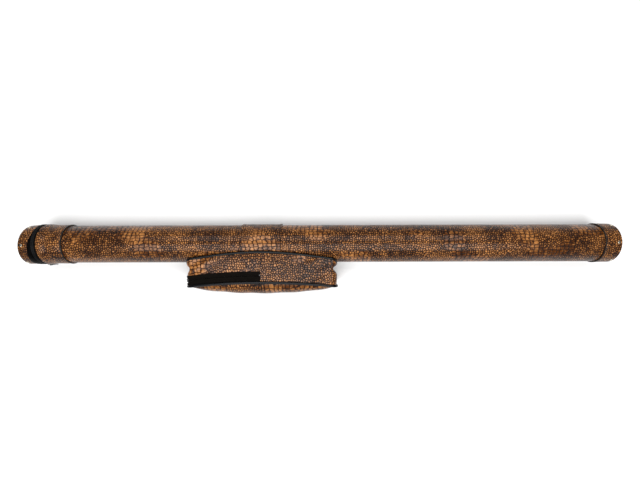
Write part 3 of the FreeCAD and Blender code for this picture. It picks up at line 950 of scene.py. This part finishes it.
def strip_place(heights):
    def place(u, v):
        spot = between(left_rim, TAPE_FROM + (1 - TAPE_FROM) * (u + 1) / 2)
        behind = heights[0][0] + (heights[-1][0] - heights[0][0]) * (v + 1) / 2
        point, out = rim_point(spot, front_seam(spot[0]) - behind)
        lift = lift_at(heights, behind)
        ripple = 0.12 * math.sin(point.x * 0.35 + point.z * 0.3) if 1 < behind < 21 else 0
        return in_frame(point + out * (lift * (1 + 2.2 * abs(out.x)) + ripple))
    return place


body_tape = sheet_of("pouch_zip_tape_on_body", 120, 40, strip_place(BODY_TAPE), TAPE_WALL)
place_piece(tidy_mesh(body_tape, 60), zip_tape, "case", "zip_tape", "pouch_zip_body_tape")
flap_tape = sheet_of("pouch_zip_tape_on_flap", 120, 48, strip_place(FLAP_TAPE), TAPE_WALL)
fold_with_flap(tidy_mesh(flap_tape, 60), zip_tape, "zip_tape", "pouch_zip_flap_tape")


def zip_row(name, behind):
    """Teeth at even steps along the pouch's left rim."""
    fine_steps = 599
    path = []
    for i in range(fine_steps + 1):
        spot = between(left_rim, i / fine_steps)
        point, out = rim_point(spot, front_seam(spot[0]) - behind)
        path.append((in_frame(point), out))
    places, travelled = [], 0.0
    for (here, out), (there, _out) in zip(path, path[1:]):
        travelled += (there - here).length
        if travelled >= TOOTH_PITCH:
            travelled -= TOOTH_PITCH
            along = (there - here).normalized()
            across = along.cross(out).normalized()
            turned = Matrix((across, along, out)).transposed().to_4x4()
            places.append(Matrix.Translation(here * MM) @ turned)
    print(name, len(places), "teeth")
    return tidy_mesh(copies(name, tooth(2.2, 0.9, 1.1), places), 40)


body_row = zip_row("pouch_zip_teeth_on_body", ZIP_MIDDLE + 1.2)
place_piece(body_row, zip_nylon, "case", "zip_coil", "pouch_zip_body_coil")
flap_row = zip_row("pouch_zip_teeth_on_flap", ZIP_MIDDLE - 1.2)
fold_with_flap(flap_row, zip_nylon, "zip_coil", "pouch_zip_flap_coil")

# %% [markdown]
# ## Lining and back of the pouch
# A thin black cloth lines the gusset and the front, a little inside the leather. The back is a
# panel of leather curved to the sleeve that it is sewn to.

# %% Lining and back panel
linings = []
for rim, short, name in ((right_rim, 1.0, "pouch_lining_cloth"), (left_rim, 23.4, "more_lining")):
    linings.append(sheet_of(name, len(rim) - 1, 16, gusset_place(rim, short, CLOTH_INSET, 0.03),
                            CLOTH_WALL))
only(linings[0])
linings[1].select_set(True)
bpy.ops.object.join()
place_piece(tidy_mesh(linings[0], 60), lining, "case", "lining_cloth", "pouch_lining")
front_cloth = sheet_of("pouch_front_lining_cloth", 60, 20, front_place(CLOTH_INSET), CLOTH_WALL)
fold_with_flap(tidy_mesh(front_cloth, 60), lining, "lining_cloth", "pouch_flap_lining")


def back_height(x):
    flat = HALF - CORNER
    spot = (min(abs(x), flat), 1.0, 90.0)
    height = rim_point(spot, back_depth(spot))[0].z
    past = abs(x) - flat
    return height - (CORNER - math.sqrt(max(CORNER ** 2 - past ** 2, 0)) if past > 0 else 0)


def back_place(u, v):
    x = (HALF - 1.5) * u
    reach = math.asin(min(0.98, (back_height(x) - 1.8) / SEAT))
    radius = 41.8
    return in_frame(Vector((x, radius * math.cos(reach * v), radius * math.sin(reach * v))))


back = tidy_mesh(sheet_of("pouch_back_leather", 40, 32, back_place, LEATHER_WALL), 50)
lay_sheet(back, lambda co: co.x, lambda co: co.z, 0.37)
place_piece(back, leather, "case", "brown_leather", "pouch_back_panel")

# %% [markdown]
# ## Sliders and pulls
# A slider is a small waisted plate with a bridge, and its pull is a flat ring that hangs from the
# bridge. Both are blocks: the plate is bevelled and narrowed at one end, the pull is inset and its
# window is opened by bridging the two inset faces.

# %% Sliders and pulls
JOINT = {joint["name"]: joint for joint in frame["joints"]}


PLATE_WIDTH = 9.0
PLATE_LENGTH = 11.0


def slider_model(name, plate_height):
    clear_selection()
    bpy.ops.mesh.primitive_cube_add(size=1, location=(0, 0, plate_height * MM / 2))
    plate = bpy.context.object
    plate.name = name
    plate.scale = (PLATE_WIDTH * MM, PLATE_LENGTH * MM, plate_height * MM)
    moved_to_mesh(plate)
    bpy.ops.object.mode_set(mode="EDIT")
    bpy.ops.mesh.select_all(action="SELECT")
    bpy.ops.mesh.subdivide(number_cuts=5)
    bpy.ops.object.mode_set(mode="OBJECT")
    for vertex in plate.data.vertices:
        along = vertex.co.y / (PLATE_LENGTH / 2 * MM)
        vertex.co.x *= 1 - 0.30 * max(0, along) ** 2 - 0.12 * max(0, -along) ** 3
        vertex.co.z -= 0.0004 * along ** 2
    clear_selection()
    bpy.ops.mesh.primitive_cube_add(size=1, location=(0, 0, (plate_height + 1.1) * MM))
    bridge = bpy.context.object
    bridge.scale = (4.2 * MM, 5.2 * MM, 2.4 * MM)
    moved_to_mesh(bridge)
    plate.select_set(True)
    bpy.context.view_layer.objects.active = plate
    bpy.ops.object.join()
    return softened(plate, 0.35, 2)


def pull_model(name):
    """A flat ring that hangs along -Z from a pin on the X axis, in metres."""
    clear_selection()
    bpy.ops.mesh.primitive_cube_add(size=1, location=(0, 0, -7.6 * MM))
    ring = bpy.context.object
    ring.name = name
    ring.scale = (7.2 * MM, 1.2 * MM, 16.6 * MM)
    moved_to_mesh(ring)
    bpy.ops.object.mode_set(mode="EDIT")
    bpy.ops.mesh.select_mode(type="FACE")
    bpy.ops.mesh.select_all(action="DESELECT")
    bpy.ops.object.mode_set(mode="OBJECT")
    for face in ring.data.polygons:
        face.select = abs(face.normal.y) > 0.9
    bpy.ops.object.mode_set(mode="EDIT")
    bpy.ops.mesh.inset(thickness=1.15 * MM, use_individual=True)
    bpy.ops.mesh.bridge_edge_loops()
    bpy.ops.object.mode_set(mode="OBJECT")
    for vertex in ring.data.vertices:
        if abs(vertex.co.x) < 3 * MM and -15 * MM < vertex.co.z < -12 * MM:
            vertex.co.z = -7.2 * MM
        if vertex.co.z < -15 * MM:
            vertex.co.x *= 0.8
    return softened(ring, 0.3, 2)


def set_down(piece, place):
    piece.data.transform(place)
    return tidy_mesh(piece, 45)


for side, angle in (("lower", 213), ("upper", 195)):
    body = slider_model(f"lid_{side}_slider_body", 1.3)
    place_piece(set_down(body, standing(-561.5, 41.35, angle)), slider_metal, f"lid_{side}_slider",
                "slider_metal", f"lid_zip_{side}_slider")
    pull = pull_model(f"lid_{side}_pull_ring")
    pin = Vector(JOINT[f"lid_{side}_pull_swing"]["pos_m"])
    place_piece(set_down(pull, Matrix.Translation(pin)), slider_metal, f"lid_{side}_pull",
                "slider_metal", f"lid_zip_{side}_pull")

pin = Vector(JOINT["pouch_pull_swing"]["pos_m"])
across = Vector(JOINT["pouch_pull_swing"]["axis"]).normalized()
down = Vector((0, 0, -1))
down = (down - across * down.dot(across)).normalized()
stand = Matrix((across, down.cross(across), down)).transposed().to_4x4()
body = slider_model("pouch_slider_body", 1.0)
stand = Matrix.Translation(pin - down * 2.2 * MM) @ stand
place_piece(set_down(body, stand), slider_metal, "pouch_slider", "slider_metal", "pouch_zip_slider")
pull = pull_model("pouch_pull_ring")
lying = Matrix((across, down, across.cross(down))).transposed().to_4x4()
reach = (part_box("pouch_zip_pull")[1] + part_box("pouch_zip_pull")[0]) / 2 - pin
if (lying @ Vector((0, 0, -1))).dot(reach) < 0:
    lying = Matrix((-across, down, down.cross(across))).transposed().to_4x4()
place_piece(set_down(pull, Matrix.Translation(pin) @ lying), slider_metal, "pouch_pull", "slider_metal",
            "pouch_zip_pull")

# %% [markdown]
# ## Pads
# Both ends of the case are padded, so that the cue doesn't knock. A pad is a disc of foam in
# velvet: crowned in the middle, pulled in at its rim.

# %% Pads at both ends
for name, node, flat, soft_side, body, rim in (
        ("lid_pad_cushion", "lid_pad", -588.4, -580.4, "lid", 35.7),
        ("base_pad_cushion", "base_pad", 564.4, 554.4, "case", 34.4)):
    deep = soft_side - flat
    section = [(flat, 0.001), (flat, 34.0), (flat + deep * 0.25, rim), (flat + deep * 0.62, 33.6),
               (flat + deep * 0.86, 26), (flat + deep * 0.97, 14), (soft_side, 0.001)]
    pad = lathe(name, section, 72, smooth=80)
    place_piece(pad, velvet, body, "lining_cloth", node)

# %% [markdown]
# ## Foam cradle
# Soft foam fills the tube and holds the cue's parts in three channels. Its solid has hard edges, so
# a copy of its mesh is merged and every sharp edge is rounded with a bevel.

# %% Foam cradle with soft edges
clear_selection()
cradle = bpy.data.objects.new("foam_cradle", frame["nodes"]["foam_core"].data.copy())
bpy.context.scene.collection.objects.link(cradle)
only(cradle)
bpy.ops.object.mode_set(mode="EDIT")
bpy.ops.mesh.select_all(action="SELECT")
bpy.ops.mesh.remove_doubles(threshold=0.00001)
bpy.ops.object.mode_set(mode="OBJECT")
softened(cradle, 0.9, 3, 50)
place_piece(tidy_mesh(cradle, 40), foam, "case", "foam", "foam_core")

# %% [markdown]
# ## Camera, floor and light
# The case lies on a white table and is seen from straight above. A wide soft lamp hangs over the
# pouch's side; the white table fills the shadows and lights the sides of the tube.

# %% Camera
SENSOR = 36               # in mm
LENS = 20.115
CAMERA_HEIGHT = 0.778
bpy.ops.object.camera_add(location=(0.0, (AXIS_Y - 13.4) * MM, CAMERA_HEIGHT),
                          rotation=(0, 0, math.radians(-0.16)))
camera = bpy.context.object
camera.data.sensor_width = SENSOR
camera.data.lens = LENS
camera.data.clip_start = 0.01
bpy.context.scene.camera = camera

# %% Floor
clear_selection()
bpy.ops.mesh.primitive_plane_add(size=8)
floor = bpy.context.object
floor.name = "table_top"
material, start, shader = new_material("white_table")
place = start.node("ShaderNodeTexCoord", None, None, 3)
cloud = start.node("ShaderNodeTexNoise", None, {"Vector": place, "Scale": 2})
white = cloud.blend_colour((0.78, 0.78, 0.78, 1), (0.81, 0.81, 0.81, 1))
connect(shader, Base_Color=white, Roughness=0.9, Specular_IOR_Level=0.1)
dress(material, floor)

# %% Lamps and surroundings
def lamp(name, place, aim, size, power):
    bpy.ops.object.light_add(type="AREA", location=place)
    light = bpy.context.object
    light.name = name
    light.data.shape = "RECTANGLE"
    light.data.size, light.data.size_y = size
    light.data.energy = power
    light.rotation_euler = (Vector(aim) - Vector(place)).to_track_quat("-Z", "Y").to_euler()


lamp("soft_box", (0.0, -0.75, 1.75), (0, 0, 0), (3.2, 1.4), 72)
lamp("fill", (0.0, 1.6, 2.6), (0, 0, 0), (4.0, 1.6), 75)
world = bpy.data.worlds.new("studio")
bpy.context.scene.world = world
world.use_nodes = True
background = world.node_tree.nodes["Background"]
background.inputs["Color"].default_value = (1, 1, 1, 1)
background.inputs["Strength"].default_value = 0.08
bpy.context.scene.view_settings.view_transform = "Standard"

# %% [markdown]
# ## Last update
# The view layer is brought up to date.


bpy.context.view_layer.update()
